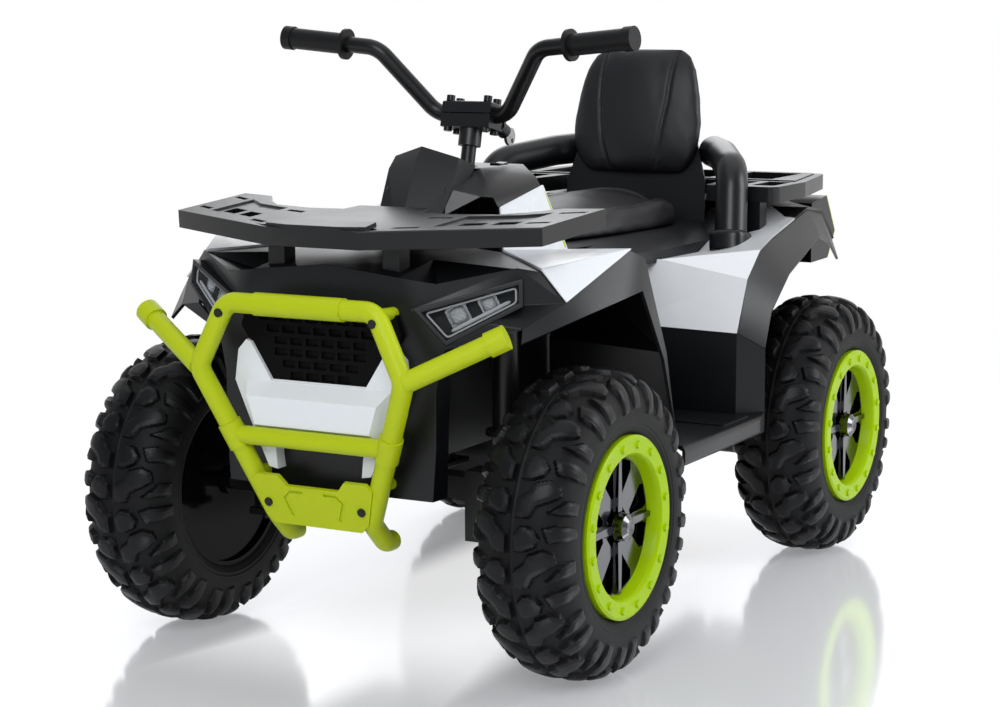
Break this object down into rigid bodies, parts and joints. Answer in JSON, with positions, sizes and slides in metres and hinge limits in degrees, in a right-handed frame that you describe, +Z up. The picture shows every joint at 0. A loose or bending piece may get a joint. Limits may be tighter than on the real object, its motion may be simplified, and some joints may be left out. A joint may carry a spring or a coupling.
{
  "type": "kids quad bike",
  "caption": "Child's electric quad bike with steered front wheels, bull bar, carriers front and rear, padded seat with backrest and arm tubes.",
  "frame": {"origin": "on the floor under the middle of the bike's length and width", "axes": "+Z up, the front points along -Y, the rider's left is +X"},
  "size_m": [0.65, 1.074, 0.7197],
  "materials": {
    "black_frame": "satin",
    "black_plastic": "satin",
    "white_plastic": "gloss",
    "lime_plastic": "satin",
    "tyre_black": "satin",
    "dark_metallic": "dark plated",
    "bright_chrome": "mirror",
    "clear_cover": "smoked",
    "grip_rubber": "matte",
    "seat_skin": "fine grain",
    "steel": "zinc plated",
    "battery_case": "matte"
  },
  "bodies": {
    "chassis": {"armrests": "black_plastic", "back_pad": "seat_skin", "battery": "battery_case", "bull_bar_crossbar": "lime_plastic", "bull_bar_hoop": "lime_plastic", "bull_bar_screws": "steel", "chassis_frame": "black_frame", "dash_console": "black_plastic", "drive_units": "black_plastic", "front_fenders": "black_plastic", "front_rack": "black_plastic", "grille": "black_plastic", "headlight_housings": "black_plastic", "headlight_lenses": "clear_cover", "headlight_reflectors": "bright_chrome", "hood_cover": "white_plastic", "lower_body": "black_plastic", "nose_bumper": "white_plastic", "nose_shell": "black_plastic", "rack_posts": "black_plastic", "rear_axle": "steel", "rear_deck": "black_plastic", "rear_fender_trims": "black_plastic", "rear_rack": "black_plastic", "rear_side_covers": "white_plastic", "seat_pad": "seat_skin", "seat_shell": "black_plastic", "skid_plate": "lime_plastic", "steering_cowl": "black_plastic", "strut_covers": "black_frame", "tail_box": "black_plastic", "tail_trim": "lime_plastic"},
    "steering": {"steering_column": "black_frame", "handlebar": "black_frame", "clamp_base": "black_plastic", "clamp_cap": "black_plastic", "clamp_bolts": "steel", "grip_left": "grip_rubber", "grip_right": "grip_rubber", "ignition_lock": "black_plastic"},
    "key": {"ignition_key": "steel"},
    "knuckle_left": {"knuckle_left": "black_frame"},
    "knuckle_right": {"knuckle_right": "black_frame"},
    "tie_rod": {"tie_rod": "black_frame"},
    "pedal": {"throttle_pedal": "black_plastic"},
    "rocker": {"direction_switch": "black_plastic"},
    "button": {"start_button": "lime_plastic"},
    "wheel_front_left": {"tyre_front_left": "tyre_black", "rim_front_left": "dark_metallic", "bead_ring_front_left": "lime_plastic"},
    "wheel_front_right": {"tyre_front_right": "tyre_black", "rim_front_right": "dark_metallic", "bead_ring_front_right": "lime_plastic"},
    "wheel_rear_left": {"tyre_rear_left": "tyre_black", "rim_rear_left": "dark_metallic", "bead_ring_rear_left": "lime_plastic"},
    "wheel_rear_right": {"tyre_rear_right": "tyre_black", "rim_rear_right": "dark_metallic", "bead_ring_rear_right": "lime_plastic"}
  },
  "joints": [
    {"name": "steering_turn", "type": "hinge", "parent": "chassis", "child": "steering", "pos_m": [0, -0.23375, 0.213], "axis": [0, 0.225, 0.9744], "range_deg": [-27.5, 27.5]},
    {"name": "knuckle_left_turn", "type": "hinge", "parent": "chassis", "child": "knuckle_left", "pos_m": [0.165, -0.35775, 0.175], "axis": [0, 0, 1], "range_deg": [-18, 18]},
    {"name": "knuckle_right_turn", "type": "hinge", "parent": "chassis", "child": "knuckle_right", "pos_m": [-0.165, -0.35775, 0.175], "axis": [0, 0, 1], "range_deg": [-18, 18]},
    {"name": "tie_rod_slide", "type": "slide", "parent": "chassis", "child": "tie_rod", "axis": [1, 0, 0], "range_m": [-0.019, 0.019]},
    {"name": "wheel_front_left_spin", "type": "hinge", "parent": "knuckle_left", "child": "wheel_front_left", "pos_m": [0.264, -0.35775, 0.175], "axis": [1, 0, 0], "continuous": true},
    {"name": "wheel_front_right_spin", "type": "hinge", "parent": "knuckle_right", "child": "wheel_front_right", "pos_m": [-0.264, -0.35775, 0.175], "axis": [1, 0, 0], "continuous": true},
    {"name": "wheel_rear_left_spin", "type": "hinge", "parent": "chassis", "child": "wheel_rear_left", "pos_m": [0.264, 0.33225, 0.175], "axis": [1, 0, 0], "continuous": true},
    {"name": "wheel_rear_right_spin", "type": "hinge", "parent": "chassis", "child": "wheel_rear_right", "pos_m": [-0.264, 0.33225, 0.175], "axis": [1, 0, 0], "continuous": true},
    {"name": "pedal_press", "type": "hinge", "parent": "chassis", "child": "pedal", "pos_m": [-0.205, -0.12575, 0.239], "axis": [1, 0, 0], "range_deg": [-10, 0], "stiffness_Nm_per_rad": 0.4, "springref_deg": 11.46},
    {"name": "key_turn", "type": "hinge", "parent": "steering", "child": "key", "pos_m": [0.027, -0.11086, 0.59], "axis": [0, 0.8944, -0.4472], "range_deg": [0, 60]},
    {"name": "rocker_tilt", "type": "hinge", "parent": "chassis", "child": "rocker", "pos_m": [0.024, -0.11975, 0.547], "axis": [1, 0, 0], "range_deg": [-8, 8]},
    {"name": "button_push", "type": "slide", "parent": "chassis", "child": "button", "axis": [0, 0, -1], "range_m": [0, 0.003], "stiffness_N_per_m": 150, "springref_m": -0.002}
  ],
  "couplings": [
    {"joint": "knuckle_left_turn", "follows": "steering_turn", "ratio": 0.65},
    {"joint": "knuckle_right_turn", "follows": "steering_turn", "ratio": 0.65},
    {"joint": "tie_rod_slide", "follows": "steering_turn", "m_per_rad": -0.0381}
  ]
}
